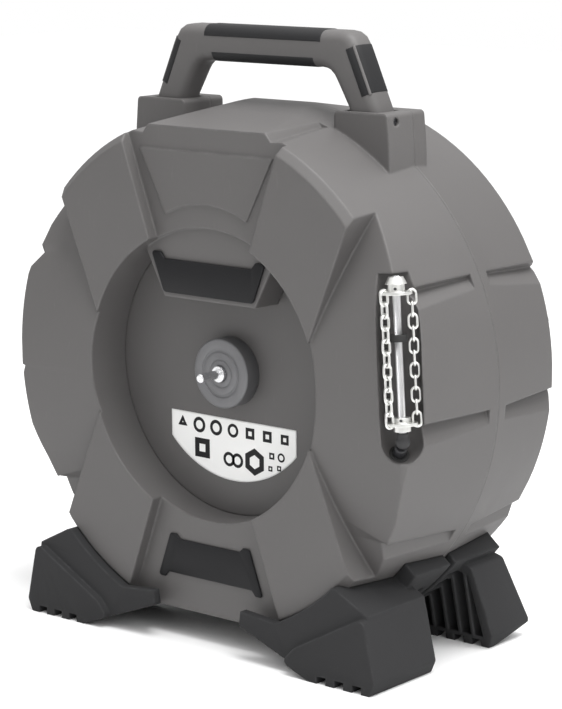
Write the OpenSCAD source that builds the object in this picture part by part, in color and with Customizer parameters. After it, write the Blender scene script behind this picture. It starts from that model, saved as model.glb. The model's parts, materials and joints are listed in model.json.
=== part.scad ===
// Drain snake machine.
// Round two-shell case on four rubber feet, holding a reel of sheathed flexible shaft.
// A drill turns the shaft end in the front recess; the far end carries a chain knocker
// that is stowed in an upright trough at the right front edge of the case.
// World frame: +X right, -Y front, +Z up, ground at Z = 0.

/* [Case] */
// Outer radius of the case at the parting plane
crown_r = 284; // [236:1:341]
// Loss of radius from the parting plane to the outer faces
case_draft = 12; // [10:1:14]
// Depth of the front shell
front_depth = 140; // [117:1:168]
// Depth of the rear shell
rear_depth = 120; // [100:1:144]
// Wall thickness of both shells
wall = 5; // [4:0.5:6]
// Depth of the drill recess below the front face
recess_depth = 53; // [44:1:64]
// Depth of the shallow dish in the rear face
rear_dish_depth = 14; // [8:1:20]
// Height of the case above the ground
ground_gap = 9; // [6:1:14]
// Position of the parting plane along Y
part_y = 19; // [10:1:30]

/* [Face relief] */
// Step down from the face to the keystone bands
band_step = 14; // [10:1:18]
// Radius of the curved side fascias
fascia_r = 453; // [400:1:540]
// Height of the tongue face above the recess floor
tongue_rise = 36; // [30:1:43]
// Depth of the rim notches at the parting end
notch_depth = 13; // [10:0.5:15]
// Flat land between the notches and the parting plane
notch_land = 13; // [10:1:18]

/* [Trough] */
// Bore radius of the stowing trough
trough_r = 22; // [21:0.5:26]
// Length of the trough along the stowed shaft
trough_len = 167; // [160:1:190]
// Sideways lean of the trough
trough_lean = 5.4; // [4:0.1:6]
// Backward lean of the trough
trough_tip = 2.7; // [2:0.1:4]

/* [Handle] */
// Half width of the handle at its top corners
handle_half = 119; // [112:1:128]
// Depth of the handle from front to back
handle_depth = 36; // [30:1:36]
// Distance of the handle's middle in front of the parting plane
handle_z = 18.5; // [18:0.5:20]
// Height of the handle bar above the case crown
handle_rise = 76; // [70:1:90]
// Thickness of the handle bar
bar_thick = 39; // [33:1:44]
// Thickness of the soft grips
grip_thick = 3; // [2.5:0.25:3.5]

/* [Feet] */
// Front overhang of the feet past the front face
foot_overhang = 18; // [14:1:22]
// Width of one tread rib
tread_w = 11; // [9:0.5:13]
// Depth of the tread grooves
tread_deep = 8; // [6:1:10]

/* [Drive] */
// Radius of the hub plate in the recess
hub_r = 37.4; // [32:0.1:44]
// Thickness of the hub plate
hub_thick = 20; // [17:1:24]
// Diameter of the shank taken by the drill chuck
shank_d = 9.5; // [8:0.1:11.4]
// Diameter of the drive shaft in its bearing
shaft_d = 12; // [10:0.1:14.4]
// Radial running clearance of shafts and bushes
run_gap = 0.05; // [0.02:0.01:0.1]

/* [Reel and cable] */
// Outer radius of the reel
reel_r = 232; // [215:1:238]
// Diameter of the sheath
sheath_d = 12.7; // [11:0.1:13.5]
// Diameter of the bare flexible shaft
cable_d = 8; // [6.7:0.1:9.6]
// Turns in one layer of the stowed cable
layer_turns = 8; // [6:1:9]
// Layers of stowed cable
layers = 2; // [1:1:3]

/* [Chain knocker] */
// Distance of each chain from the shaft axis
chain_orbit = 15; // [14.5:0.1:15.6]
// Wire diameter of the chain links
wire_d = 2.6; // [2.2:0.1:3]
// Width of one link
link_w = 11; // [9.5:0.1:11.5]
// Pitch of the chain
link_pitch = 12.2; // [10.5:0.1:12.8]
// Links in one chain
link_count = 11; // [7:2:11]

/* [Hidden] */
k = crown_r / 284;
axis_z = crown_r + ground_gap;
rim_r = crown_r - case_draft;
rim_bevel = 8;
recess_r = 157 * k;
floor_z = front_depth - recess_depth;
ledge_z = floor_z - wall - 4;
dish_r = 180 * k;
dish_z = rear_depth - rear_dish_depth;
band_z = front_depth - band_step;
tongue_z = floor_z + tongue_rise;
flat_y = 281 * k;
flat_fall = 9;
fine = 180;
medium = 96;

boss_r = 256 * k;
boss_angles = [12, 50, -18, -55];
notch_angles = [73.5, 27.5, -1, -29.5];
case_screw_len = 34;

trough_x = 258.5 * k;
trough_y = -33 * k;
trough_z = front_depth - 12;
rod_top = trough_len - 2;

block_in = 104;
block_out = 175;
block_top = crown_r - 5;
block_front = 43;
block_rear = 20;
leg_in = 113;
leg_out = 157;
screw_y = block_top - 9;
screw_z = 28;
leg_gap = 0.4;
strip_len = 54;
hand_y = crown_r + handle_rise;

hub_z = floor_z + hub_thick;
spigot_r = 21;
bush_t = 5;
reel_hub_r = 36;
reel_front = floor_z - wall - 8;
reel_rear = -(dish_z - wall - 13);
bearing_r = 16;
collar_r = 8.5;
shaft_r = shaft_d / 2;
shank_r = shank_d / 2;
couple_z = 36;
lead_bend = 38;
sheath_r = sheath_d / 2;
cable_r = cable_d / 2;
coil_r = reel_r - 4.5 - sheath_r;
lead_z = couple_z - 52;
lead_level = lead_z - lead_bend;
link_pull = link_pitch - 0.1;
link_mid = link_pitch + wire_d;
nose_eye = trough_len - 16;
tail_eye = nose_eye - (link_count - 1) * link_pull - link_mid;
limb_r = link_w / 2 - wire_d;
limb_in = sqrt(limb_r * limb_r - (limb_r - 0.2) * (limb_r - 0.2));
eye_disc_r = chain_orbit + limb_in - 0.2;
chain_turn = [186, 254, 40];
outlet_dir = [-0.52, -0.77, -0.37];

foot_gap = 0.3;
foot_front_z = front_depth + foot_overhang;
foot_back_z = 55;
saddle_r = 297 * k;

// ---------- helpers ----------

// Unit vector
function unit(v) = v / norm(v);

// Points of one rounded corner
function corner(p, q, s, r, n) =
    let (u = unit(p - q), v = unit(s - q), h = acos(u * v) / 2,
         c = q + unit(u + v) * (r / sin(h)), a = q + u * (r / tan(h)) - c,
         b = q + v * (r / tan(h)) - c, a0 = atan2(a[1], a[0]), a1 = atan2(b[1], b[0]),
         d = a1 - a0, e = d > 180 ? d - 360 : (d < -180 ? d + 360 : d))
    [for (i = [0:n]) c + r * [cos(a0 + e * i / n), sin(a0 + e * i / n)]];

// Polygon with a rounding radius at each corner
function rounded(pts, rr, n = 6) =
    let (m = len(pts))
    [for (i = [0:m - 1])
        each (rr[i] == 0 ? [pts[i]]
            : corner(pts[(i + m - 1) % m], pts[i], pts[(i + 1) % m], rr[i], n))];

// Points along a circular arc
function arc_pts(r, a0, a1, n) = [for (i = [0:n]) r * [cos(a0 + (a1 - a0) * i / n),
    sin(a0 + (a1 - a0) * i / n)]];

// Euler angles that turn the axes onto the columns x, y and z
function euler(x, y, z) = [atan2(y[2], z[2]), asin(-x[2]), atan2(x[1], x[0])];

// Front working frame: origin on the case axis at the parting plane, local z forward
module front_frame() {
    translate([0, part_y, axis_z]) rotate([90, 0, 0]) children();
}

// Rear working frame: local z backward
module rear_frame() {
    translate([0, part_y, axis_z]) mirror([0, 1, 0]) rotate([90, 0, 0]) children();
}

// Both sides, mirrored left to right
module both_sides() {
    for (m = [0, 1]) mirror([m, 0, 0]) children();
}

// Frame of the stowed shaft: origin at the low end of the trough, local z up the shaft
module trough_frame() {
    translate([trough_x, trough_y, trough_z])
        rotate([-trough_tip, 0, trough_lean])
        rotate([-90, 0, 0]) children();
}

// Plain ring
module ring(ro, ri, h) {
    difference() {
        cylinder(r = ro, h = h, $fn = medium);
        translate([0, 0, -1]) cylinder(r = ri, h = h + 2, $fn = medium);
    }
}

// Pan head screw with a cross recess, head at z = 0 upward, shank downward
module screw(r, len, head_r, head_h) {
    difference() {
        union() {
            cylinder(r = head_r, h = head_h, $fn = medium);
            translate([0, 0, -len]) cylinder(r = r, h = len + 0.1, $fn = medium);
        }
        for (a = [0, 90]) rotate([0, 0, a])
            translate([-head_r * 0.6, -head_r * 0.11, head_h * 0.45])
            cube([head_r * 1.2, head_r * 0.22, head_h]);
    }
}

// ---------- case form ----------

// Half profile of a shell, shrunk by i on every outer face
function shell_profile(depth, pit_r, pit_z, i) = [
    [0, i > 0 ? -1 : 0],
    [crown_r - i, i > 0 ? -1 : 0],
    [crown_r - i, 0],
    [rim_r + case_draft * rim_bevel / depth - i, depth - rim_bevel],
    [rim_r - rim_bevel - i * 0.5, depth - i],
    [pit_r + i, depth - i],
    [pit_r + i, pit_z - i],
    [0, pit_z - i]];

// Turned profile of the open front shell, shrunk by i
function ring_profile(depth, pit_r, i) = [
    [pit_r + i, i > 0 ? -1 : 0],
    [crown_r - i, i > 0 ? -1 : 0],
    [crown_r - i, 0],
    [rim_r + case_draft * rim_bevel / depth - i, depth - rim_bevel],
    [rim_r - rim_bevel - i * 0.5, depth - i],
    [pit_r + i, depth - i]];

// Keystone band, lowered between two diagonal edges
module band_cut(depth, level, i) {
    x0 = 38.6 * k + i;
    x1 = 127 * k + i;
    translate([0, 0, level - i]) linear_extrude(height = depth)
        polygon([[-x0, 55 * k], [x0, 55 * k], [x1, 300 * k], [-x1, 300 * k]]);
}

// Sloping flat at the top of the case
module flat_cut(depth, i) {
    translate([-200 * k, flat_y - i, 0]) rotate([flat_fall, 0, 0])
        translate([0, 0, -40]) cube([400 * k, 100, depth + 80]);
}

// Side fascia: inside the diagonal grooves the face follows a large cylinder
module fascia_cut(depth, i) {
    x0 = 124.6 * k - i * 1.1;
    x1 = 247.6 * k - i * 1.1;
    difference() {
        translate([0, 0, depth - 80]) linear_extrude(height = 100)
            polygon([[x0, 0], [x1, 300 * k], [400 * k, 300 * k], [400 * k, -300 * k],
                [x1, -300 * k]]);
        translate([0, 0, depth - fascia_r]) rotate([0, 90, 0])
            cylinder(r = fascia_r - i, h = 420 * k, $fn = fine);
    }
}

// V notches that start at a land and deepen toward the rim
module notch_cuts(depth, i) {
    t = atan((case_draft + notch_depth * 0.4) / depth);
    for (a = notch_angles) rotate([0, 0, a])
        translate([crown_r - notch_depth * 0.6, -13, a > 60 ? block_front + 4 : notch_land])
        rotate([0, -t, 0]) translate([0, 0, -i]) linear_extrude(height = depth + 20)
        polygon([[-1.25 * i, 0], [40 - 1.25 * i, 60], [80, 60], [80, -106],
            [40 - 1.25 * i, -106]]);
}

// Upright trough with a round low end
module trough_cut(i) {
    trough_frame() {
        sphere(r = trough_r + i, $fn = medium);
        cylinder(r = trough_r + i, h = trough_len + i, $fn = medium);
    }
}

// Tongue that carries the upper badge over the recess
module tongue(i) {
    z0 = floor_z - wall - (i > 0 ? 1 : 0);
    translate([0, 0, z0]) linear_extrude(height = floor_z + tongue_rise - i - z0)
        tongue_outline(i);
}

module tongue_outline(i) {
    polygon([[-63 * k + i, 79 * k + i], [63 * k - i, 79 * k + i],
        [87 * k - i, 125 * k], [87 * k - i, 170 * k], [-87 * k + i, 170 * k],
        [-87 * k + i, 125 * k]]);
}

// Solid form of the front shell, shrunk by i
module front_form(i) {
    difference() {
        rotate_extrude($fn = fine)
            polygon(ring_profile(front_depth, recess_r, i));
        for (m = [0, 1]) mirror([0, m, 0]) {
            band_cut(front_depth, band_z, i);
            flat_cut(front_depth, i);
        }
        both_sides() {
            fascia_cut(front_depth, i);
            notch_cuts(front_depth, i);
        }
        trough_cut(i);
    }
    tongue(i);
}

// Solid form of the rear shell, shrunk by i
module rear_form(i) {
    difference() {
        rotate_extrude($fn = fine)
            polygon(shell_profile(rear_depth, dish_r, dish_z, i));
        for (m = [0, 1]) mirror([0, m, 0]) {
            band_cut(rear_depth, rear_depth - 8, i);
            flat_cut(rear_depth, i);
        }
        both_sides() notch_cuts(rear_depth, i);
    }
}

// Handle block on one shell half
module handle_block(h) {
    linear_extrude(height = h) difference() {
        polygon(rounded([[block_in, crown_r - 60], [block_in, block_top],
            [block_out - 3, block_top], [block_out, block_top - 34],
            [block_out + 2, crown_r - 100], [block_in, crown_r - 100]],
            [0, 5, 5, 0, 0, 0]));
        circle(r = crown_r - case_draft * h / front_depth - 2.4, $fn = fine);
    }
}

// Screw bosses and their ribs on the inside of a shell
module shell_bosses(h, r) {
    both_sides() for (a = boss_angles) rotate([0, 0, a]) {
        translate([boss_r, 0, 0]) cylinder(r = r, h = h, $fn = medium);
        translate([boss_r, -2, 0])
            cube([crown_r - boss_r - case_draft * h / 140 - 2.5, 4, h]);
    }
}

// Bosses behind the foot screws
module foot_bosses() {
    both_sides() for (a = [-48, -64]) rotate([0, 0, a])
        translate([crown_r - 24, 0, 22]) rotate([0, 90, 0])
        cylinder(r = 6.5, h = 21, $fn = medium);
}

// Holes for the foot screws
module foot_holes() {
    both_sides() for (a = [-48, -64]) rotate([0, 0, a])
        translate([crown_r - 30, 0, 22]) rotate([0, 90, 0])
        cylinder(r = 2.55, h = 40, $fn = medium);
}

// Pocket for the lower end of one handle leg
module leg_pocket(g) {
    translate([0, 0, -1]) linear_extrude(height = handle_z + handle_depth / 2 + g + 1)
        leg_profile(g);
}

// Outline of one handle leg inside its block
module leg_profile(g) {
    difference() {
        polygon([[leg_in - g, block_top + 5], [leg_in - g, crown_r - 60],
            [leg_out + g, crown_r - 60], [leg_out + g, block_top - 16],
            [leg_out - 2 + g, block_top + 5]]);
        circle(r = crown_r + 0.4 - g, $fn = fine);
    }
}

// Bores for the handle screws
module handle_screw_holes() {
    both_sides() translate([120, screw_y, screw_z]) rotate([0, 90, 0]) {
        cylinder(r = 2.55, h = 80, $fn = medium);
        translate([0, 0, 47]) cylinder(r = 4.6, h = 40, $fn = medium);
    }
}

// ---------- case nodes ----------

module front_shell() {
    color([0.42, 0.41, 0.41]) front_frame() difference() {
        union() {
            difference() {
                front_form(0);
                front_form(wall);
                translate([0, 0, -1])
                    cylinder(r = recess_r + wall + 1, h = ledge_z + 1, $fn = fine);
            }
            translate([0, 0, ledge_z]) ring(recess_r + 2, recess_r - 5, 4);
            shell_bosses(44, 8);
            foot_bosses();
            both_sides() handle_block(block_front);
            logo_pad();
            outlet_boss();
        }
        both_sides() leg_pocket(leg_gap);
        handle_screw_holes();
        foot_holes();
        both_sides() for (a = boss_angles) rotate([0, 0, a])
            translate([boss_r, 0, -1]) cylinder(r = 2.55, h = 30, $fn = medium);
        outlet_bore(10.05);
    }
}

// Blank raised pad on the upper band
module recess_floor() {
    color([0.42, 0.41, 0.41]) front_frame() difference() {
        union() {
            translate([0, 0, floor_z - wall])
                cylinder(r = recess_r - 0.05, h = wall, $fn = fine);
            translate([0, 0, floor_z - wall - 4]) ring(48, spigot_r + 0.3, 5);
        }
        translate([0, 0, floor_z - wall - 2]) linear_extrude(height = wall + 4)
            tongue_outline(-0.05);
        translate([0, 0, floor_z - 20]) cylinder(r = spigot_r + 0.05, h = 30, $fn = medium);
        for (a = [45:90:315]) rotate([0, 0, a]) translate([30, 0, floor_z - 20])
            cylinder(r = 2.05, h = 30, $fn = medium);
    }
}

module logo_pad() {
    translate([0, 0, band_z - 1]) linear_extrude(height = 3.2)
        intersection() {
            polygon([[-52 * k, 160 * k], [52 * k, 160 * k], [92 * k, 236 * k],
                [-92 * k, 236 * k]]);
            difference() {
                square([400 * k, 600 * k], center = true);
                translate([0, 60 * k]) circle(r = 122 * k, $fn = fine);
            }
        }
}

// Frame of the cable outlet, local z pointing into the case
module outlet_frame() {
    translate([trough_x, trough_y, trough_z])
        rotate(euler(unit(cross([0, 1, 0], outlet_dir)),
            unit(cross(outlet_dir, unit(cross([0, 1, 0], outlet_dir)))),
            unit(outlet_dir)))
        children();
}

// Thickened seat around the cable outlet
module outlet_boss() {
    outlet_frame() translate([0, 0, trough_r + 1.5])
        cylinder(r = 15, h = wall + 3, $fn = medium);
}

module outlet_bore(r) {
    outlet_frame() cylinder(r = r, h = trough_r + wall + 20, $fn = medium);
}

module rear_shell() {
    color([0.40, 0.39, 0.39]) rear_frame() difference() {
        union() {
            difference() {
                rear_form(0);
                rear_form(wall);
            }
            shell_bosses(rear_depth - 6, 9);
            foot_bosses();
            both_sides() handle_block(block_rear);
            translate([0, 0, dish_z - wall - 4]) ring(52, 4, 5);
        }
        foot_holes();
        both_sides() for (a = boss_angles) rotate([0, 0, a]) translate([boss_r, 0, 0]) {
            translate([0, 0, -1]) cylinder(r = 2.55, h = 30, $fn = medium);
            translate([0, 0, 10]) cylinder(r = 6, h = rear_depth, $fn = medium);
        }
        for (a = [0:90:270]) rotate([0, 0, a]) translate([38, 0, dish_z - 12])
            cylinder(r = 2.05, h = 9, $fn = medium);
    }
}

module shell_screws() {
    color([0.30, 0.30, 0.31]) rear_frame()
        both_sides() for (a = boss_angles) rotate([0, 0, a])
        translate([boss_r, 0, 10]) screw(2.5, case_screw_len, 5.2, 3.6);
}

module upper_badge() {
    color([0.16, 0.16, 0.17]) front_frame() translate([0, 0, tongue_z])
        linear_extrude(height = 3.4) scale(k)
        polygon(rounded([[-79, 127], [-66, 127], [-60, 120], [60, 120], [66, 127],
            [79, 127], [62, 84], [-62, 84]], [3, 2, 2, 2, 2, 3, 5, 5]));
}

module lower_badge() {
    color([0.16, 0.16, 0.17]) front_frame() translate([0, 0, band_z])
        linear_extrude(height = 2.4) scale(k)
        polygon(rounded([[-56, -178], [-47, -178], [-42, -183], [42, -183],
            [47, -178], [56, -178], [74, -228], [64, -228], [59, -222], [-59, -222],
            [-64, -228], [-74, -228]], [3, 1.5, 1.5, 1.5, 1.5, 3, 3, 1.5, 1.5, 1.5, 1.5, 3]));
}

module drill_label() {
    color([0.93, 0.93, 0.92]) front_frame() translate([0, 0, floor_z])
        linear_extrude(height = 0.5) scale(k)
        intersection() {
            translate([-88, -125]) square([176, 72.4]);
            circle(r = 120, $fn = fine);
        }
}

// ---------- handle ----------

// Outer outline of the handle loop
module handle_loop() {
    w = handle_half;
    t = hand_y;
    difference() {
        polygon(rounded([[-leg_out, crown_r - 60], [-leg_out, block_top - 16],
            [2 - leg_out, block_top], [-w, t], [w, t], [leg_out - 2, block_top],
            [leg_out, block_top - 16], [leg_out, crown_r - 60]],
            [0, 0, 0, 22, 22, 0, 0, 0], 8));
        polygon(rounded([[-leg_in, crown_r - 100], [-leg_in, block_top + 1],
            [-w + 29, t - bar_thick], [w - 29, t - bar_thick],
            [leg_in, block_top + 1], [leg_in, crown_r - 100]],
            [0, 0, 16, 16, 0, 0], 8));
        circle(r = crown_r + 0.4, $fn = fine);
    }
}

// Run of the outer leg faces, sideways and down
leg_run = [leg_out - 2 - handle_half, hand_y - block_top];

module handle_frame() {
    color([0.43, 0.42, 0.42]) front_frame() difference() {
        translate([0, 0, handle_z]) linear_extrude(height = handle_depth, center = true)
            handle_loop();
        translate([-80, hand_y - grip_thick, handle_z - handle_depth / 2 + 5])
            cube([160, 10, handle_depth - 10]);
        translate([-70, hand_y - bar_thick - 10 + grip_thick,
            handle_z - handle_depth / 2 + 5]) cube([140, 10, handle_depth - 10]);
        both_sides() strip_place() translate([0, -grip_thick, -handle_depth / 2 + 5])
            cube([strip_len, 10, handle_depth - 10]);
        handle_screw_holes();
    }
}

// Frame on the outer face of the right leg, local x down the leg, y outward
module strip_place() {
    translate([handle_half + leg_run[0] * 0.19, hand_y - leg_run[1] * 0.19, handle_z])
        rotate([0, 0, -atan2(leg_run[1], leg_run[0])]) children();
}

module handle_top_grip() {
    color([0.17, 0.17, 0.18]) front_frame()
        translate([-79.8, hand_y - grip_thick, handle_z - handle_depth / 2 + 5.2])
        cube([159.6, grip_thick + 1, handle_depth - 10.4]);
}

module handle_under_grip() {
    color([0.17, 0.17, 0.18]) front_frame()
        translate([-69.8, hand_y - bar_thick - 1, handle_z - handle_depth / 2 + 5.2])
        cube([139.6, grip_thick + 1, handle_depth - 10.4]);
}

// Soft strip with a raised middle ridge on the outer face of a leg
module leg_strip() {
    strip_place() {
        translate([0.2, -grip_thick, -handle_depth / 2 + 5.2])
            cube([strip_len - 0.4, grip_thick + 0.8, handle_depth - 10.4]);
        translate([4, 0, -2.2]) cube([strip_len - 8, 2, 4.4]);
    }
}

module handle_left_strip() {
    color([0.17, 0.17, 0.18]) front_frame() mirror([1, 0, 0]) leg_strip();
}

module handle_right_strip() {
    color([0.17, 0.17, 0.18]) front_frame() leg_strip();
}

module handle_screws() {
    color([0.30, 0.30, 0.31]) front_frame()
        both_sides() translate([167, screw_y, screw_z]) rotate([0, 90, 0])
        screw(2.5, 43, 4.3, 3);
}

// ---------- feet ----------

// Solid that clears the case for the feet
module case_clear(depth) {
    rotate_extrude($fn = fine) polygon([[0, -20], [crown_r + foot_gap, -20],
        [crown_r + foot_gap, 0],
        [rim_r + case_draft * rim_bevel / depth + foot_gap, depth - rim_bevel],
        [rim_r - rim_bevel + foot_gap, depth + foot_gap], [0, depth + foot_gap]]);
}

// Outline of a foot block, y measured from the case axis
function block_pts() = let (g = axis_z) [[160 * k, -g], [240 * k, -g],
    [246 * k, 14 - g], [231 * k, 80 * k - g], [140 * k, 31 * k - g], [124 * k, 14 * k - g]];

// Outline of the lip that hooks over the rim
function lip_pts() = let (g = axis_z) concat([[242 * k, 20 * k - g], [231 * k, 80 * k - g],
    [190 * k, 101 * k - g]],
    [for (p = arc_pts(266 * k, -46, -66, 10)) p],
    [[62 * k, 54 * k - g], [60 * k, 38 * k - g], [124 * k, 14 * k - g]]);

// Saddle that hugs the underside of the case
module saddle(z0, z1) {
    translate([0, 0, z0]) linear_extrude(height = z1 - z0) difference() {
        intersection() {
            circle(r = saddle_r, $fn = fine);
            polygon([[0, 0], 400 * k * [cos(-40), sin(-40)], 400 * k * [cos(-58), sin(-58)],
                400 * k * [cos(-74), sin(-74)]]);
        }
        circle(r = crown_r - 20, $fn = fine);
    }
}

// Vertical ribs left standing in the hollow of a foot
module foot_ribs(z0, z1) {
    for (x = [150:17:235]) translate([x * k, -axis_z, z0]) cube([4, 120, z1 - z0]);
}

// Counterbored clearance for the two foot screws
module foot_screw_room() {
    for (a = [-48, -64]) rotate([0, 0, a]) translate([crown_r - 5, 0, 22]) rotate([0, 90, 0]) {
        cylinder(r = 2.8, h = 60, $fn = medium);
        translate([0, 0, 12]) cylinder(r = 6, h = 60, $fn = medium);
    }
}

module foot_front() {
    difference() {
        union() {
            translate([0, 0, foot_back_z]) linear_extrude(height = foot_front_z - foot_back_z)
                polygon(rounded(block_pts(), [2, 3, 5, 7, 12, 6]));
            translate([0, 0, foot_back_z])
                linear_extrude(height = foot_front_z - foot_back_z - 8) polygon(lip_pts());
            saddle(5, foot_back_z + 10);
        }
        case_clear(front_depth);
        tread_grooves(foot_back_z - 1, foot_front_z + 1);
        difference() {
            translate([0, 0, foot_back_z - 1]) linear_extrude(height = 72)
                polygon([[150 * k, 12 - axis_z], [234 * k, 12 - axis_z],
                    [222 * k, 72 * k - axis_z], [150 * k, 32 * k - axis_z]]);
            foot_ribs(foot_back_z - 2, foot_back_z + 80);
        }
        foot_screw_room();
    }
}

// Grooves between the tread ribs
module tread_grooves(z0, z1) {
    step = (80 * k - tread_w) / 3;
    for (n = [0:2]) translate([160 * k + tread_w + n * step, -axis_z - 1, z0])
        cube([step - tread_w, tread_deep + 1, z1 - z0]);
}

module foot_rear() {
    g = axis_z;
    difference() {
        union() {
            intersection() {
                linear_extrude(height = rear_depth) polygon(rounded(concat(
                    [[140 * k, -g], [240 * k, -g], [246 * k, 16 - g], [231 * k, 92 * k - g],
                    [196 * k, 104 * k - g]], [for (p = arc_pts(270 * k, -46, -62, 4)) p],
                    [[122 * k, 30 * k - g]]), [4, 3, 6, 5, 0, 0, 0, 0, 0, 0, 8]));
                rotate([0, -90, 0]) linear_extrude(height = 600 * k, center = true)
                    polygon([[49, -g], [56, -g], [112, 16 - g], [113, 20 - g],
                        [79, 105 * k - g], [24, 105 * k - g]]);
            }
            saddle(5, 84);
        }
        case_clear(rear_depth);
        tread_grooves(40, 125);
        difference() {
            rotate([0, -90, 0]) linear_extrude(height = 600 * k, center = true)
                polygon([[20, 10 - g], [70, 10 - g], [60, 96 * k - g], [10, 96 * k - g]]);
            translate([0, 0, -5]) linear_extrude(height = 140) difference() {
                square(1000 * k, center = true);
                polygon([[150 * k, 12 - g], [234 * k, 12 - g], [224 * k, 82 * k - g],
                    [202 * k, 89 * k - g], [150 * k, 44 * k - g]]);
            }
            foot_ribs(0, 100);
        }
        foot_screw_room();
    }
}

module foot_front_left() {
    color([0.20, 0.20, 0.21]) front_frame() mirror([1, 0, 0]) foot_front();
}

module foot_front_right() {
    color([0.20, 0.20, 0.21]) front_frame() foot_front();
}

module foot_rear_left() {
    color([0.20, 0.20, 0.21]) rear_frame() mirror([1, 0, 0]) foot_rear();
}

module foot_rear_right() {
    color([0.20, 0.20, 0.21]) rear_frame() foot_rear();
}

module foot_screws() {
    color([0.30, 0.30, 0.31]) {
        front_frame() foot_screw_set();
        rear_frame() foot_screw_set();
    }
}

module foot_screw_set() {
    both_sides() for (a = [-48, -64]) rotate([0, 0, a])
        translate([crown_r + 7, 0, 22]) rotate([0, 90, 0]) screw(2.5, 26, 5.2, 3.4);
}

// ---------- drive ----------

module hub_plate() {
    z0 = reel_front - 17;
    color([0.66, 0.66, 0.67]) front_frame() difference() {
        union() {
            translate([0, 0, z0]) cylinder(r = spigot_r, h = floor_z - z0 + 1, $fn = medium);
            translate([0, 0, floor_z]) cylinder(r = hub_r, h = hub_thick - 1.5, $fn = medium);
            translate([0, 0, hub_z - 1.5])
                cylinder(r1 = hub_r, r2 = hub_r - 1.5, h = 1.5, $fn = medium);
        }
        translate([0, 0, z0 - 1])
            cylinder(r = bearing_r + 0.02, h = floor_z + 8 - z0 + 1, $fn = medium);
        cylinder(r = collar_r + 0.3, h = hub_z + 5, $fn = medium);
        translate([0, 0, hub_z - 1.2]) ring(26, 23, 3);
        translate([0, 0, hub_z - 0.8]) ring(15.5, 14, 3);
        for (a = [45:90:315]) rotate([0, 0, a]) translate([30, 0, floor_z - 1])
            cylinder(r = 2.05, h = 10, $fn = medium);
    }
}

module hub_screws() {
    color([0.30, 0.30, 0.31]) front_frame() for (a = [45:90:315]) rotate([0, 0, a])
        translate([30, 0, floor_z - wall - 4]) rotate([180, 0, 0]) screw(2, 16, 3.6, 1.8);
}

module front_bearing() {
    color([0.70, 0.70, 0.72]) front_frame() translate([0, 0, floor_z - 3])
        ring(bearing_r, shaft_r + run_gap, 11);
}

module drive_shaft() {
    z0 = couple_z - 20;
    z1 = floor_z + 8.3;
    color([0.78, 0.78, 0.80]) front_frame() {
        translate([0, 0, z0]) cylinder(r = shaft_r, h = z1 - z0, $fn = medium);
        translate([0, 0, z1]) cylinder(r = collar_r, h = hub_z + 4 - z1, $fn = medium);
        translate([0, 0, hub_z + 4])
            cylinder(r = shank_r, h = front_depth - 1 - hub_z - 4, $fn = medium);
        translate([0, 0, front_depth - 1])
            cylinder(r1 = shank_r, r2 = shank_r - 1, h = 1, $fn = medium);
    }
}

module shaft_circlip() {
    color([0.35, 0.35, 0.36]) front_frame() translate([0, 0, floor_z - 4.8]) difference() {
        ring(shaft_r + 3, shaft_r, 1.6);
        translate([0, -1.5, -1]) cube([20, 3, 4]);
    }
}

module shaft_coupling() {
    color([0.55, 0.55, 0.57]) front_frame() translate([0, 0, couple_z - 40]) difference() {
        cylinder(r = 13.5, h = 40, $fn = medium);
        translate([0, 0, 20]) cylinder(r = shaft_r + 0.01, h = 30, $fn = medium);
        translate([0, 0, -1]) cylinder(r = cable_r + 0.01, h = 30, $fn = medium);
        for (z = [10, 30]) translate([8, 0, z]) rotate([0, 90, 0])
            cylinder(r = 2.5, h = 10, $fn = medium);
    }
}

module drive_core() {
    color([0.72, 0.72, 0.74]) front_frame() translate([0, 0, lead_z + 0.2])
        cylinder(r = cable_r, h = couple_z - 20.2 - lead_z - 0.2, $fn = medium);
}

// ---------- reel ----------

module rear_axle() {
    z0 = dish_z - wall - 9;
    color([0.60, 0.60, 0.62]) rear_frame() difference() {
        union() {
            translate([0, 0, z0]) cylinder(r = 44, h = 5, $fn = medium);
            translate([0, 0, z0 - 22]) cylinder(r = spigot_r, h = 23, $fn = medium);
        }
        translate([0, 0, z0 - 23]) cylinder(r = 14, h = 24, $fn = medium);
        for (a = [0:90:270]) rotate([0, 0, a]) translate([38, 0, z0 - 1])
            cylinder(r = 2.05, h = 10, $fn = medium);
    }
}

module rear_axle_screws() {
    color([0.30, 0.30, 0.31]) rear_frame() for (a = [0:90:270]) rotate([0, 0, a])
        translate([38, 0, dish_z - wall - 9]) rotate([180, 0, 0]) screw(2, 10, 3.6, 1.8);
}

module reel_bowl() {
    r = reel_r * k;
    z = reel_rear;
    color([0.30, 0.31, 0.33]) front_frame() difference() {
        rotate_extrude($fn = fine) polygon([[reel_hub_r + 0.1, z], [r, z],
            [r, reel_front - 8], [r - 25, reel_front - 8], [r - 25, reel_front - 12],
            [r - 4, reel_front - 12], [r - 4, z + 4], [151 * k, z + 4],
            [151 * k, reel_front - 14], [148 * k, reel_front - 14], [148 * k, z + 4],
            [reel_hub_r + 0.1, z + 4]]);
        for (a = [30:60:330]) rotate([0, 0, a]) translate([98 * k, 0, z - 1])
            cylinder(r = 18, h = 8, $fn = medium);
        for (a = [0:60:300]) rotate([0, 0, a]) translate([50, 0, z - 1])
            cylinder(r = 2.05, h = 8, $fn = medium);
        for (x = [-9, 9]) translate([118, x, z - 1]) cylinder(r = 2.05, h = 8, $fn = medium);
        translate([130 * k, 0, lead_level]) rotate([0, 90, 0])
            cylinder(r = sheath_r + 0.6, h = 40 * k, $fn = medium);
    }
}

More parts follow.
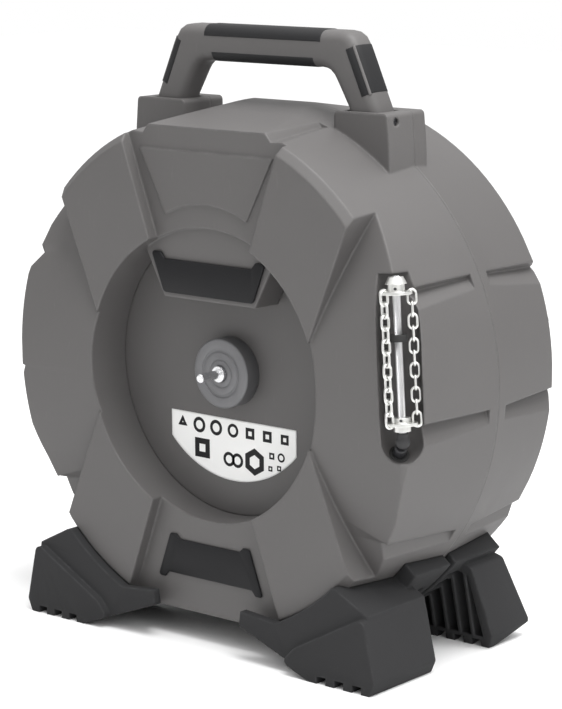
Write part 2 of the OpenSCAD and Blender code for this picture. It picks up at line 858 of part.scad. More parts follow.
module reel_hub() {
    z = reel_rear;
    color([0.45, 0.46, 0.48]) front_frame() difference() {
        union() {
            translate([0, 0, z]) cylinder(r = reel_hub_r, h = reel_front - z, $fn = medium);
            translate([0, 0, z + 4]) cylinder(r = 58, h = 4, $fn = medium);
        }
        translate([0, 0, z - 1]) cylinder(r = 23, h = reel_front - z + 2, $fn = medium);
        for (y = [z - 1, reel_front - 15]) translate([0, 0, y])
            cylinder(r = spigot_r + bush_t + 0.02, h = 16, $fn = medium);
        translate([0, -9.5, lead_level - 10]) cube([40, 19, lead_bend + 14]);
        for (a = [0:60:300]) rotate([0, 0, a]) translate([50, 0, z])
            cylinder(r = 2.05, h = 20, $fn = medium);
    }
}

module reel_bush_front() {
    color([0.75, 0.60, 0.35]) front_frame() translate([0, 0, reel_front - 14.8])
        ring(spigot_r + bush_t, spigot_r + run_gap, 14.8);
}

module reel_bush_rear() {
    color([0.75, 0.60, 0.35]) front_frame() translate([0, 0, reel_rear])
        ring(spigot_r + bush_t, spigot_r + run_gap, 14.8);
}

module reel_screws() {
    z = reel_rear + 8;
    color([0.30, 0.30, 0.31]) front_frame() {
        for (a = [0:60:300]) rotate([0, 0, a]) translate([50, 0, z]) screw(2, 7.6, 3.6, 2.2);
        for (y = [-9, 9]) translate([118, y, reel_rear + 10]) screw(2, 9.6, 3.4, 2.2);
    }
}

// Two-layer stack of stowed turns; neighbouring turns just merge
module cable_coil() {
    step = sheath_d - 0.2;
    color([0.20, 0.21, 0.23]) front_frame() rotate_extrude($fn = fine)
        for (j = [0:layers - 1]) for (n = [0:layer_turns - 1])
            translate([coil_r + reel_r * (k - 1) - j * step,
                reel_rear + 4.3 + sheath_r + n * step])
            circle(r = sheath_r, $fn = medium);
}

module cable_lead_in() {
    x1 = 150 * k;
    color([0.20, 0.21, 0.23]) front_frame() {
        translate([lead_bend, 0, lead_z])
            rotate(euler([-1, 0, 0], [0, 0, -1], [0, -1, 0]))
            rotate_extrude(angle = 90, $fn = fine)
            translate([lead_bend, 0]) circle(r = sheath_r, $fn = medium);
        translate([lead_bend, 0, lead_level]) rotate([0, 90, 0])
            cylinder(r = sheath_r, h = x1 - lead_bend, $fn = medium);
        translate([x1, 40, lead_level]) rotate([0, 0, -90])
            rotate_extrude(angle = 90, $fn = fine)
            translate([40, 0]) circle(r = sheath_r, $fn = medium);
    }
}

module sheath_clamp() {
    z0 = reel_rear + 4;
    h = lead_level + 12 - z0;
    color([0.50, 0.51, 0.53]) front_frame() difference() {
        union() {
            translate([96, -12, z0]) cube([14, 24, h]);
            translate([109, -16, z0]) cube([16, 32, 6]);
        }
        translate([90, 0, lead_level]) rotate([0, 90, 0])
            cylinder(r = sheath_r + 0.02, h = 40, $fn = medium);
        for (y = [-9, 9]) translate([118, y, z0 - 1]) cylinder(r = 2.05, h = 8, $fn = medium);
    }
}

// ---------- cable end and knocker ----------

// Start and end of the loose length between the reel and the outlet
lead_a = [trough_x, trough_y, trough_z] + unit(outlet_dir) * (trough_r + wall + 7);
lead_b = [20 * k, -180 * k, reel_front - 16];
lead_c = lead_b - lead_a;
lead_d = unit(outlet_dir);
lead_n = unit(lead_c - lead_d * (lead_c * lead_d));
lead_half = acos(lead_c * lead_d / norm(lead_c));
lead_r = norm(lead_c) / (2 * sin(lead_half));

module cable_lead_out() {
    color([0.20, 0.21, 0.23]) front_frame() translate(lead_a + lead_n * lead_r)
        rotate(euler(-lead_n, lead_d, cross(-lead_n, lead_d)))
        rotate_extrude(angle = 2 * lead_half, $fn = fine)
        translate([lead_r, 0]) circle(r = sheath_r, $fn = medium);
}

module outlet_sleeve() {
    color([0.20, 0.21, 0.23]) front_frame() outlet_frame() translate([0, 0, 9])
        cylinder(r = sheath_r, h = trough_r + wall - 2.1, $fn = medium);
}

module outlet_bush() {
    color([0.13, 0.13, 0.14]) front_frame() outlet_frame() translate([0, 0, trough_r - 3])
        difference() {
            cylinder(r = 10, h = wall + 9, $fn = medium);
            translate([0, 0, -1]) cylinder(r = sheath_r + 0.02, h = wall + 12, $fn = medium);
        }
}

module sheath_ferrule() {
    color([0.15, 0.15, 0.16]) front_frame() trough_frame() difference() {
        union() {
            sphere(r = 7.2, $fn = medium);
            cylinder(r = 6, h = 9, $fn = medium);
        }
        translate([0, 0, 3]) cylinder(r = cable_r + run_gap, h = 10, $fn = medium);
    }
}

module tip_shaft() {
    color([0.80, 0.80, 0.81]) front_frame() trough_frame() {
        translate([0, 0, 3.3]) cylinder(r = cable_r, h = rod_top - 4.3, $fn = medium);
        translate([0, 0, rod_top - 1])
            cylinder(r1 = cable_r, r2 = cable_r - 1, h = 1, $fn = medium);
    }
}

module tip_band() {
    color([0.08, 0.08, 0.09]) front_frame() trough_frame() translate([0, 0, 100])
        ring(9, cable_r + 0.01, 7);
}

// Holes for the inner legs of the end links
module eye_holes(z) {
    inner = chain_orbit - link_w / 2 - 0.2;
    outer = chain_orbit - limb_in + 0.2;
    for (a = chain_turn) rotate([0, 0, a]) translate([(inner + outer) / 2, 0, z])
        cylinder(r = (outer - inner) / 2, h = 10, $fn = medium);
}

module nose_collar() {
    z = nose_eye - wire_d / 2 - 3.2;
    color([0.76, 0.76, 0.77]) front_frame() trough_frame() difference() {
        union() {
            translate([0, 0, z]) cylinder(r = eye_disc_r, h = 3, $fn = medium);
            translate([0, 0, z]) cylinder(r = 8.6, h = 11, $fn = medium);
            translate([0, 0, z + 10.5])
                cylinder(r1 = 11, r2 = 7.5, h = rod_top - z - 11.5, $fn = medium);
        }
        translate([0, 0, z - 1]) cylinder(r = cable_r + 0.01, h = 40, $fn = medium);
        eye_holes(z - 4);
        translate([0, 0, z + 6]) rotate([90, 0, 30]) cylinder(r = 1.6, h = 12, $fn = medium);
    }
}

module tail_collar() {
    z = tail_eye + wire_d / 2 + 0.2;
    color([0.76, 0.76, 0.77]) front_frame() trough_frame() difference() {
        union() {
            translate([0, 0, z]) cylinder(r = eye_disc_r, h = 3, $fn = medium);
            translate([0, 0, z - 6]) cylinder(r = 8.6, h = 14, $fn = medium);
        }
        translate([0, 0, z - 10]) cylinder(r = cable_r + 0.01, h = 40, $fn = medium);
        eye_holes(z - 4);
        translate([0, 0, z + 5.5]) rotate([90, 0, 30]) cylinder(r = 1.6, h = 12, $fn = medium);
    }
}

module collar_set_screws() {
    za = nose_eye - wire_d / 2 + 2.8;
    zb = tail_eye + wire_d / 2 + 5.7;
    color([0.25, 0.25, 0.26]) front_frame() trough_frame()
        for (z = [za, zb]) translate([0, 0, z]) rotate([90, 0, 30])
        translate([0, 0, cable_r + 0.1]) cylinder(r = 1.55, h = 4, $fn = medium);
}

// One stadium-shaped link in the local XZ plane, top apex of its centre line at z = 0
module link() {
    r = link_w / 2 - wire_d / 2;
    l = link_mid - 2 * r;
    translate([0, 0, -r]) rotate([90, 0, 0]) rotate_extrude(angle = 180, $fn = medium)
        translate([r, 0]) circle(r = wire_d / 2, $fn = medium);
    translate([0, 0, -r - l]) rotate([-90, 0, 0]) rotate_extrude(angle = 180, $fn = medium)
        translate([r, 0]) circle(r = wire_d / 2, $fn = medium);
    for (x = [-r, r]) translate([x, 0, -r - l]) cylinder(r = wire_d / 2, h = l, $fn = medium);
}

module chain(turn) {
    color([0.80, 0.80, 0.79]) front_frame() trough_frame() rotate([0, 0, turn])
        for (n = [0:link_count - 1])
        translate([chain_orbit, 0, nose_eye - n * link_pull])
        rotate([0, 0, (n % 2) * 90]) link();
}

module chain_a() { chain(chain_turn[0]); }

module chain_b() { chain(chain_turn[1]); }

module chain_c() { chain(chain_turn[2]); }

// ---------- draw ----------

front_shell();
recess_floor();
rear_shell();
shell_screws();
upper_badge();
lower_badge();
drill_label();
handle_frame();
handle_top_grip();
handle_under_grip();
handle_left_strip();
handle_right_strip();
handle_screws();
foot_front_left();
foot_front_right();
foot_rear_left();
foot_rear_right();
foot_screws();
hub_plate();
hub_screws();
front_bearing();
drive_shaft();
shaft_circlip();
shaft_coupling();
drive_core();
rear_axle();
rear_axle_screws();
reel_bowl();
reel_hub();
reel_screws();
reel_bush_front();
reel_bush_rear();
cable_coil();
cable_lead_in();
sheath_clamp();
cable_lead_out();
outlet_sleeve();
outlet_bush();
sheath_ferrule();
tip_shaft();
tip_band();
nose_collar();
tail_collar();
collar_set_screws();
chain_a();
chain_b();
chain_c();
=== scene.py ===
"""Drain snake machine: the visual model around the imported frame."""
import json
import math
import bmesh
import bpy
from mathutils import Euler, Matrix, Vector


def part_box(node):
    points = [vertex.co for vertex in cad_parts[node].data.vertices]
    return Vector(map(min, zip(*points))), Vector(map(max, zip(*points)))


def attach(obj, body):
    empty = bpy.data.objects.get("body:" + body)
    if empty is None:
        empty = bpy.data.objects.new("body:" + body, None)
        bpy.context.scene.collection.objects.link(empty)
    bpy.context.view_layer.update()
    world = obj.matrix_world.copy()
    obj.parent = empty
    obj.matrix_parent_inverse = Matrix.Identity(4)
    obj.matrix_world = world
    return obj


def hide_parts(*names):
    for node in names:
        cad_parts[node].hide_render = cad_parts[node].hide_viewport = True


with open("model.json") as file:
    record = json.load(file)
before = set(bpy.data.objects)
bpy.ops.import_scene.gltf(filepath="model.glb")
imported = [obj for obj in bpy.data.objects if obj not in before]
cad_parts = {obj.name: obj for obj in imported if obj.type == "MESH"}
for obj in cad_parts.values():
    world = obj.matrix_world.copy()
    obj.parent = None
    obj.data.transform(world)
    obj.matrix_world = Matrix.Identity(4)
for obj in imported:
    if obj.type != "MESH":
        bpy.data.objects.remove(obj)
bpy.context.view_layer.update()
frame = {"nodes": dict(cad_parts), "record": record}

NODE_BODY = {node: body for body, nodes in
             frame["record"]["behaviour"]["bodies"].items() for node in nodes}
NODE_SLOT = {s["node"]: s["material_slot"] for s in frame["record"]["subparts"]}
MM = 0.001

# ---------- camera, floor and lights ----------

SHELL_LOW, SHELL_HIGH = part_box("front_shell")
AXIS_Z = sum(corner.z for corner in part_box("hub_plate")) / 2
PARTING_Y = SHELL_HIGH.y
VIEW_TARGET = Vector((0.0014, 0.0102, 0.2988))
VIEW_AZIMUTH, VIEW_ELEVATION, VIEW_ROLL = (math.radians(a) for a in (40.1, 11.1, -0.4))
VIEW_DISTANCE = 2.7587
LENS = 129.24
SIDE_FILL, OVERHEAD_FILL = 0.30, 1.45


def set_camera():
    """Long lens, a little above the hub, from the right front."""
    away = Vector((math.sin(VIEW_AZIMUTH) * math.cos(VIEW_ELEVATION),
                   -math.cos(VIEW_AZIMUTH) * math.cos(VIEW_ELEVATION),
                   math.sin(VIEW_ELEVATION)))
    data = bpy.data.cameras.new("studio_camera")
    data.lens = LENS
    data.sensor_width = 36
    data.clip_end = 50
    camera = bpy.data.objects.new("studio_camera", data)
    bpy.context.scene.collection.objects.link(camera)
    camera.location = VIEW_TARGET + away * VIEW_DISTANCE
    turn = (-away).to_track_quat("-Z", "Y") @ Euler((0, 0, VIEW_ROLL)).to_quaternion()
    camera.rotation_euler = turn.to_euler()
    bpy.context.scene.camera = camera


def add_soft_light(name, place, aim, size, watts):
    """One large square softbox pointed at aim."""
    data = bpy.data.lights.new(name, "AREA")
    data.shape = "SQUARE"
    data.size = size
    data.energy = watts
    lamp = bpy.data.objects.new(name, data)
    bpy.context.scene.collection.objects.link(lamp)
    lamp.location = place
    lamp.rotation_euler = (Vector(aim) - Vector(place)).to_track_quat("-Z", "Y").to_euler()


def deselect_all():
    """Leave object mode with nothing selected."""
    if bpy.context.mode != "OBJECT":
        bpy.ops.object.mode_set(mode="OBJECT")
    bpy.ops.object.select_all(action="DESELECT")


def set_studio():
    """Pale floor, white backdrop, a strong top key and weak fill."""
    deselect_all()
    bpy.context.scene.view_settings.view_transform = "Standard"
    bpy.ops.mesh.primitive_plane_add(size=14, location=(0, 0, 0))
    floor = bpy.context.object
    floor.name = "studio_floor"
    paint = bpy.data.materials.new("pale_floor")
    paint.use_nodes = True
    principled = paint.node_tree.nodes["Principled BSDF"]
    principled.inputs["Base Color"].default_value = (0.93, 0.93, 0.93, 1)
    principled.inputs["Roughness"].default_value = 0.8
    principled.inputs["Specular IOR Level"].default_value = 0.1
    floor.data.materials.append(paint)
    world = bpy.data.worlds.new("studio_world")
    world.use_nodes = True
    tree = world.node_tree
    fill = tree.nodes["Background"]
    fill.inputs["Color"].default_value = (1, 1, 1, 1)
    place = tree.nodes.new("ShaderNodeTexCoord")
    split = tree.nodes.new("ShaderNodeSeparateXYZ")
    tree.links.new(place.outputs["Generated"], split.inputs[0])
    rise = tree.nodes.new("ShaderNodeMapRange")
    rise.inputs["From Min"].default_value = 0.0
    rise.inputs["From Max"].default_value = 0.85
    rise.inputs["To Min"].default_value = SIDE_FILL
    rise.inputs["To Max"].default_value = OVERHEAD_FILL
    tree.links.new(split.outputs["Z"], rise.inputs["Value"])
    tree.links.new(rise.outputs["Result"], fill.inputs["Strength"])
    backdrop = tree.nodes.new("ShaderNodeBackground")
    backdrop.inputs["Color"].default_value = (1, 1, 1, 1)
    backdrop.inputs["Strength"].default_value = 1.0
    seen = tree.nodes.new("ShaderNodeLightPath")
    blend = tree.nodes.new("ShaderNodeMixShader")
    tree.links.new(seen.outputs["Is Camera Ray"], blend.inputs[0])
    tree.links.new(fill.outputs[0], blend.inputs[1])
    tree.links.new(backdrop.outputs[0], blend.inputs[2])
    tree.links.new(blend.outputs[0], tree.nodes["World Output"].inputs["Surface"])
    bpy.context.scene.world = world
    add_soft_light("top_key", (0.9, -0.2, 2.6), (0, 0, 0.3), 1.4, 62)
    add_soft_light("side_box", (3.0, -0.9, 1.5), (0.1, 0, 0.3), 1.2, 16)


# ---------- shader groups ----------

def new_group(name, inputs, outputs):
    """Empty shader group with named sockets; returns tree, in node and out node."""
    tree = bpy.data.node_groups.new(name, "ShaderNodeTree")
    for label, kind, value in inputs:
        socket = tree.interface.new_socket(label, in_out="INPUT", socket_type=kind)
        if value is not None:
            socket.default_value = value
    for label, kind in outputs:
        tree.interface.new_socket(label, in_out="OUTPUT", socket_type=kind)
    return tree, tree.nodes.new("NodeGroupInput"), tree.nodes.new("NodeGroupOutput")


def add_node(tree, kind, **values):
    """New node with its fields and default inputs set."""
    node = tree.nodes.new(kind)
    for key, value in values.items():
        if key in node.inputs:
            node.inputs[key].default_value = value
        else:
            setattr(node, key, value)
    return node


def add_math(tree, operation, a, b=None, c=None, clamp=False):
    """Math node fed by sockets or numbers; returns its output."""
    node = tree.nodes.new("ShaderNodeMath")
    node.operation = operation
    node.use_clamp = clamp
    for slot, value in zip(node.inputs, (a, b, c)):
        if value is None:
            continue
        if isinstance(value, (int, float)):
            slot.default_value = value
        else:
            tree.links.new(value, slot)
    return node.outputs[0]


def add_noise(tree, vector, scale, detail=2.0, roughness=0.5):
    """Noise texture value on a vector; scale is a socket or a number."""
    node = add_node(tree, "ShaderNodeTexNoise", Detail=detail, Roughness=roughness)
    tree.links.new(vector, node.inputs["Vector"])
    if isinstance(scale, (int, float)):
        node.inputs["Scale"].default_value = scale
    else:
        tree.links.new(scale, node.inputs["Scale"])
    return node.outputs["Fac"]


def build_edge_wear():
    """Mask of rubbed edges, broken up by noise, and the normal of the eased edge."""
    tree, inp, out = new_group(
        "edge_wear",
        [("Vector", "NodeSocketVector", None), ("Radius", "NodeSocketFloat", 0.003),
         ("Breakup", "NodeSocketFloat", 60.0)],
        [("Mask", "NodeSocketFloat"), ("Rounded", "NodeSocketVector")])
    bevel = add_node(tree, "ShaderNodeBevel", samples=8)
    tree.links.new(inp.outputs["Radius"], bevel.inputs["Radius"])
    geometry = tree.nodes.new("ShaderNodeNewGeometry")
    dot = add_node(tree, "ShaderNodeVectorMath", operation="DOT_PRODUCT")
    tree.links.new(bevel.outputs["Normal"], dot.inputs[0])
    tree.links.new(geometry.outputs["Normal"], dot.inputs[1])
    edge = add_math(tree, "SUBTRACT", 1.0, dot.outputs["Value"])
    edge = add_math(tree, "MULTIPLY", edge, 9.0, clamp=True)
    chips = add_noise(tree, inp.outputs["Vector"], inp.outputs["Breakup"], 4.0, 0.65)
    chips = add_math(tree, "MULTIPLY_ADD", chips, 3.2, -1.15, clamp=True)
    tree.links.new(add_math(tree, "MULTIPLY", edge, chips), out.inputs["Mask"])
    tree.links.new(bevel.outputs["Normal"], out.inputs["Rounded"])
    return tree


def build_moulded_grain():
    """Fine spark-eroded grain: a height and a matching tone value."""
    tree, inp, out = new_group(
        "moulded_grain",
        [("Vector", "NodeSocketVector", None), ("Size", "NodeSocketFloat", 900.0)],
        [("Height", "NodeSocketFloat"), ("Tone", "NodeSocketFloat")])
    fine = add_noise(tree, inp.outputs["Vector"], inp.outputs["Size"], 3.0, 0.6)
    wide_scale = add_math(tree, "MULTIPLY", inp.outputs["Size"], 0.31)
    wide = add_noise(tree, inp.outputs["Vector"], wide_scale, 2.0, 0.5)
    height = add_math(tree, "MULTIPLY_ADD", wide, 0.4, add_math(tree, "MULTIPLY", fine, 0.6))
    tree.links.new(height, out.inputs["Height"])
    tree.links.new(height, out.inputs["Tone"])
    return tree


def build_handling_marks():
    """Slow patches of dust and polish over the whole surface."""
    tree, inp, out = new_group(
        "handling_marks",
        [("Vector", "NodeSocketVector", None), ("Size", "NodeSocketFloat", 9.0)],
        [("Patch", "NodeSocketFloat"), ("Scuff", "NodeSocketFloat")])
    patch = add_noise(tree, inp.outputs["Vector"], inp.outputs["Size"], 5.0, 0.6)
    tree.links.new(add_math(tree, "MULTIPLY_ADD", patch, 2.4, -0.7, clamp=True),
                   out.inputs["Patch"])
    stretch = add_node(tree, "ShaderNodeMapping")
    stretch.inputs["Scale"].default_value = (1.0, 1.0, 0.16)
    stretch.inputs["Rotation"].default_value = (0.3, 0.7, 0.2)
    tree.links.new(inp.outputs["Vector"], stretch.inputs["Vector"])
    line = add_noise(tree, stretch.outputs["Vector"], 240.0, 3.0, 0.7)
    tree.links.new(add_math(tree, "MULTIPLY_ADD", line, 7.0, -4.4, clamp=True),
                   out.inputs["Scuff"])
    return tree


EDGE_WEAR = build_edge_wear()
MOULDED_GRAIN = build_moulded_grain()
HANDLING_MARKS = build_handling_marks()


def place_group(tree, group, vector, **values):
    """Put a group in a material with its own values."""
    node = tree.nodes.new("ShaderNodeGroup")
    node.node_tree = group
    tree.links.new(vector, node.inputs["Vector"])
    for key, value in values.items():
        node.inputs[key].default_value = value
    return node


def mix_colours(tree, factor, a, b):
    """Colour mix; a and b are sockets or colour tuples."""
    node = tree.nodes.new("ShaderNodeMix")
    node.data_type = "RGBA"
    tree.links.new(factor, node.inputs[0])
    for slot, value in ((node.inputs[6], a), (node.inputs[7], b)):
        if isinstance(value, tuple):
            slot.default_value = (*value, 1)
        else:
            tree.links.new(value, slot)
    return node.outputs[2]


def tint(colour, gain):
    """A colour made lighter or darker."""
    return tuple(min(1.0, c * gain) for c in colour)


def make_finish(name, colour, rough, metal=0.0, grain=900.0, relief=0.03, depth=0.00012,
                wear=1.6, wear_radius=0.003, patch=0.12, rough_swing=0.10, specular=0.5,
                turned=None, strand=None, coat=0.0):
    """Procedural finish: base tone with grain, patches and scuffs, worn edges and bump.
    turned gives lathe rings per metre about the hub axis; strand gives wound wire."""
    material = bpy.data.materials.new(name)
    material.use_nodes = True
    tree = material.node_tree
    principled = tree.nodes["Principled BSDF"]
    principled.inputs["Metallic"].default_value = metal
    principled.inputs["Specular IOR Level"].default_value = specular
    if coat:
        principled.inputs["Coat Weight"].default_value = coat
        principled.inputs["Coat Roughness"].default_value = 0.25
    place = tree.nodes.new("ShaderNodeTexCoord").outputs["Object"]
    skin = place_group(tree, MOULDED_GRAIN, place, Size=grain)
    marks = place_group(tree, HANDLING_MARKS, place, Size=9.0 if metal < 0.5 else 40.0)
    edges = place_group(tree, EDGE_WEAR, place, Radius=wear_radius)
    base = mix_colours(tree, skin.outputs["Tone"], tint(colour, 1 - relief * 3),
                       tint(colour, 1 + relief * 3))
    faded = mix_colours(tree, add_math(tree, "MULTIPLY", marks.outputs["Patch"], patch * 3),
                        base, tint(colour, 1.22))
    scuffed = mix_colours(tree, add_math(tree, "MULTIPLY", marks.outputs["Scuff"], 0.22),
                          faded, tint(colour, 1.5))
    worn = mix_colours(tree, add_math(tree, "MULTIPLY", edges.outputs["Mask"], 0.75),
                       scuffed, tint(colour, wear))
    tree.links.new(worn, principled.inputs["Base Color"])
    gloss = add_math(tree, "MULTIPLY_ADD", marks.outputs["Patch"], rough_swing, rough)
    gloss = add_math(tree, "MULTIPLY_ADD", skin.outputs["Tone"], 0.06, gloss, clamp=True)
    tree.links.new(gloss, principled.inputs["Roughness"])
    height = skin.outputs["Height"]
    if turned:
        height = lathe_rings(tree, place, turned, height)
    if strand:
        height = wound_wire(tree, place, strand, height)
    bump = add_node(tree, "ShaderNodeBump", Strength=1.0, Distance=depth)
    tree.links.new(height, bump.inputs["Height"])
    tree.links.new(edges.outputs["Rounded"], bump.inputs["Normal"])
    tree.links.new(bump.outputs["Normal"], principled.inputs["Normal"])
    return material


def lathe_rings(tree, place, rings, height):
    """Concentric turning marks about the hub axis, added to a height."""
    split = tree.nodes.new("ShaderNodeSeparateXYZ")
    tree.links.new(place, split.inputs[0])
    up = add_math(tree, "SUBTRACT", split.outputs["Z"], AXIS_Z)
    square = add_math(tree, "MULTIPLY_ADD", up, up,
                      add_math(tree, "MULTIPLY", split.outputs["X"], split.outputs["X"]))
    radius = add_math(tree, "SQRT", square)
    wave = add_math(tree, "SINE", add_math(tree, "MULTIPLY", radius, rings))
    return add_math(tree, "MULTIPLY_ADD", wave, 0.5, height)


def wound_wire(tree, place, pitch, height):
    """Slanting ridges of a wound wire shaft that stands nearly upright."""
    split = tree.nodes.new("ShaderNodeSeparateXYZ")
    tree.links.new(place, split.inputs[0])
    across = add_math(tree, "ADD", split.outputs["X"], split.outputs["Y"])
    run = add_math(tree, "MULTIPLY_ADD", across, 0.9, split.outputs["Z"])
    wave = add_math(tree, "SINE", add_math(tree, "MULTIPLY", run, pitch))
    return add_math(tree, "MULTIPLY_ADD", wave, 2.2, height)


FINISHES = {
    "shell_plastic": dict(colour=(0.088, 0.084, 0.083), rough=0.50, wear=1.5, wear_radius=0.004),
    "shell_plastic_rear": dict(colour=(0.084, 0.080, 0.079), rough=0.51, wear=1.5, wear_radius=0.004),
    "handle_plastic": dict(colour=(0.090, 0.086, 0.085), rough=0.48, wear=1.5),
    "foot_rubber": dict(colour=(0.024, 0.024, 0.025), rough=0.74, specular=0.25, grain=520.0,
                        depth=0.0002, wear=2.1, wear_radius=0.004),
    "grip_rubber": dict(colour=(0.012, 0.012, 0.013), rough=0.55, specular=0.3, grain=700.0,
                        depth=0.00018, wear=2.4, wear_radius=0.002),
    "badge_black": dict(colour=(0.008, 0.008, 0.009), rough=0.42, specular=0.22, grain=1600.0,
                        depth=0.00004, wear=3.0, wear_radius=0.0015),
    "label_white": dict(colour=(0.80, 0.80, 0.79), rough=0.42, grain=2200.0, relief=0.01,
                        depth=0.00003, wear=1.0, patch=0.02),
    "black_screw": dict(colour=(0.07, 0.07, 0.075), rough=0.38, metal=0.9, wear=3.0,
                        wear_radius=0.0008, grain=1800.0, depth=0.00004),
    "hub_metal": dict(colour=(0.16, 0.16, 0.165), rough=0.42, metal=0.6, wear=1.4,
                      turned=9000.0, depth=0.00007, grain=1500.0, wear_radius=0.0015),
    "bearing_steel": dict(colour=(0.60, 0.60, 0.61), rough=0.25, metal=1.0, turned=12000.0,
                          depth=0.00004),
    "shaft_steel": dict(colour=(0.74, 0.74, 0.75), rough=0.16, metal=1.0, grain=2600.0,
                        depth=0.00003, wear=1.2, wear_radius=0.0008, turned=15000.0),
    "spring_steel": dict(colour=(0.20, 0.20, 0.21), rough=0.35, metal=1.0, depth=0.00004),
    "coupling_steel": dict(colour=(0.45, 0.45, 0.46), rough=0.32, metal=1.0,
                           turned=9000.0, depth=0.00005),
    "axle_alloy": dict(colour=(0.55, 0.55, 0.56), rough=0.40, metal=0.9, turned=8000.0,
                       depth=0.00005),
    "reel_plastic": dict(colour=(0.06, 0.065, 0.07), rough=0.50, wear=1.8),
    "reel_hub_plastic": dict(colour=(0.12, 0.125, 0.13), rough=0.50, wear=1.8),
    "bush_bronze": dict(colour=(0.55, 0.38, 0.18), rough=0.38, metal=1.0, depth=0.00005),
    "sheath_nylon": dict(colour=(0.03, 0.03, 0.033), rough=0.36, wear=1.5),
    "clamp_alloy": dict(colour=(0.50, 0.51, 0.52), rough=0.45, metal=0.9),
    "outlet_rubber": dict(colour=(0.02, 0.02, 0.02), rough=0.70, grain=600.0),
    "ferrule_rubber": dict(colour=(0.025, 0.025, 0.026), rough=0.66, grain=600.0),
    "cable_steel": dict(colour=(0.66, 0.66, 0.67), rough=0.26, metal=1.0, strand=3600.0,
                        depth=0.00012, wear=1.3, wear_radius=0.0008),
    "band_rubber": dict(colour=(0.010, 0.010, 0.010), rough=0.60, grain=900.0),
    "zinc_collar": dict(colour=(0.70, 0.70, 0.68), rough=0.28, metal=1.0, wear=1.25,
                        grain=1400.0, depth=0.00006, wear_radius=0.0008),
    "set_screw_steel": dict(colour=(0.10, 0.10, 0.105), rough=0.35, metal=1.0),
    "zinc_chain": dict(colour=(0.74, 0.74, 0.72), rough=0.24, metal=1.0, wear=1.25,
                       grain=1800.0, depth=0.00005, wear_radius=0.0006),
}
MATERIALS = {name: make_finish(name, **recipe) for name, recipe in FINISHES.items()}


def dress(obj, slot):
    """Give a piece or a CAD node its finish."""
    obj.data.materials.clear()
    obj.data.materials.append(MATERIALS[slot])
    for polygon in obj.data.polygons:
        polygon.material_index = 0


# ---------- pieces from the frame ----------

def smooth_by_angle(obj, degrees=32):
    """Smooth shading up to an edge angle."""
    deselect_all()
    obj.select_set(True)
    bpy.context.view_layer.objects.active = obj
    bpy.ops.object.shade_smooth_by_angle(angle=math.radians(degrees))


WELD = 0.00002


def copy_node(node, name):
    """A selected copy of a CAD node with its own mesh and name."""
    source = frame["nodes"][node]
    deselect_all()
    source.hide_set(False)
    source.select_set(True)
    bpy.context.view_layer.objects.active = source
    bpy.ops.object.duplicate()
    piece = bpy.context.object
    piece.parent = None
    piece.matrix_world = Matrix.Identity(4)
    piece.name = name
    piece.data.name = name
    return piece


def stand_in_for(piece, node):
    """Let a copy take its CAD node's place, body and finish."""
    for key in [k for k in piece.keys() if k.startswith("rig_")]:
        del piece[key]
    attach(piece, NODE_BODY[node])
    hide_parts(node)
    dress(piece, NODE_SLOT[node])


def soften(node, width, angle):
    """A moulded copy of a CAD node: merged, cleaned and with rounded edges."""
    piece = copy_node(node, node + "_moulded")
    bpy.ops.object.mode_set(mode="EDIT")
    bpy.ops.mesh.select_all(action="SELECT")
    bpy.ops.mesh.remove_doubles(threshold=WELD)
    bpy.ops.mesh.dissolve_limited(angle_limit=math.radians(0.6))
    bpy.ops.mesh.select_all(action="DESELECT")
    bpy.ops.object.mode_set(mode="OBJECT")
    bevel = piece.modifiers.new("rounded_edges", "BEVEL")
    bevel.width = width
    bevel.segments = 2
    bevel.limit_method = "ANGLE"
    bevel.angle_limit = math.radians(angle)
    bevel.harden_normals = False
    bevel.use_clamp_overlap = True
    bevel.miter_outer = "MITER_ARC"
    bpy.ops.object.modifier_apply(modifier="rounded_edges")
    smooth_by_angle(piece, 40)
    stand_in_for(piece, node)


def bevel_edges(piece, width, segments, chosen):
    """Round the edges that chosen picks in edit mode."""
    bpy.ops.object.mode_set(mode="EDIT")
    bpy.ops.mesh.select_mode(type="EDGE")
    bpy.ops.mesh.select_all(action="DESELECT")
    mesh = bmesh.from_edit_mesh(piece.data)
    for edge in mesh.edges:
        if chosen(edge):
            edge.select_set(True)
    bmesh.update_edit_mesh(piece.data)
    bpy.ops.mesh.bevel(offset=width, segments=segments, affect="EDGES", clamp_overlap=False)
    bpy.ops.object.mode_set(mode="OBJECT")


def handle_outline(grow):
    """Outer and inner points of half the handle, from leg foot to middle, in mm."""
    outer = [(156.4, 545), (156.4, 556), (154, 574), (147, 590), (138.5, 609), (129, 630.5),
             (124.6, 640), (119.5, 647.5), (112.5, 651.6), (104, 652.8), (84, 652.8), (0, 652.8)]
    inner = [(113.5, 545), (113.5, 556), (113, 574), (107.8, 583), (102.6, 592), (97.5, 601),
             (93.6, 607), (89, 611), (83.4, 613.4), (77, 614.2), (62, 614.2), (0, 614.2)]
    grown = []
    for side, sign in ((outer, 1), (inner, -1)):
        moved = []
        for i, (x, z) in enumerate(side):
            ax, az = side[max(i - 1, 0)]
            bx, bz = side[min(i + 1, len(side) - 1)]
            length = math.hypot(bx - ax, bz - az)
            moved.append((x + sign * grow * (bz - az) / length,
                          z - sign * grow * (bx - ax) / length))
        moved[-1] = (0, moved[-1][1])
        grown.append(moved)
    return list(zip(*grown))


